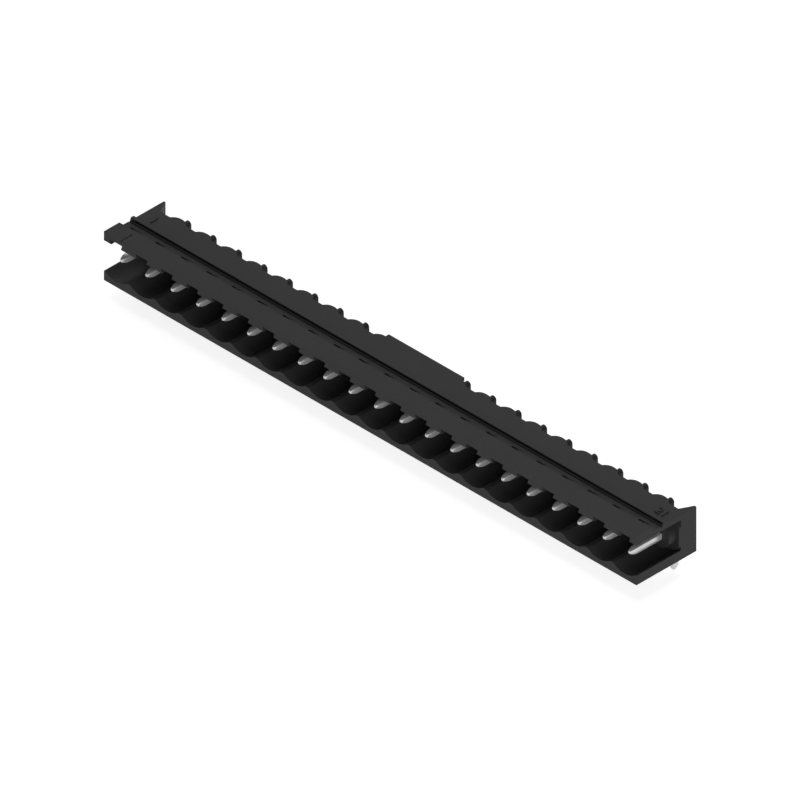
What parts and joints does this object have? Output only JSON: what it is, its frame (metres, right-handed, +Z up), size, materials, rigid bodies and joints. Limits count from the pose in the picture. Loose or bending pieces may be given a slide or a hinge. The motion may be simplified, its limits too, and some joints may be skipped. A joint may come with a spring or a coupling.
{
  "type": "circuit board pin header",
  "caption": "Right-angle pin header for a circuit board: black moulded housing open at the front and both ends, with a row of bare square contacts bent down into solder tails.",
  "frame": {"origin": "centre of the housing's board face, the flat underside that sits on the circuit board", "axes": "+X along the row of contacts, -Y towards the plug side, +Z up from the board"},
  "size_m": [0.1064, 0.012, 0.0116],
  "materials": {
    "housing": "satin black moulded polyamide",
    "contact": "bright tin plate over copper alloy"
  },
  "bodies": {
    "root": {"housing": "housing", "contact_01": "contact", "contact_02": "contact", "contact_03": "contact", "contact_04": "contact", "contact_05": "contact", "contact_06": "contact", "contact_07": "contact", "contact_08": "contact", "contact_09": "contact", "contact_10": "contact", "contact_11": "contact", "contact_12": "contact", "contact_13": "contact", "contact_14": "contact", "contact_15": "contact", "contact_16": "contact", "contact_17": "contact", "contact_18": "contact", "contact_19": "contact", "contact_20": "contact", "contact_21": "contact"}
  },
  "joints": []
}
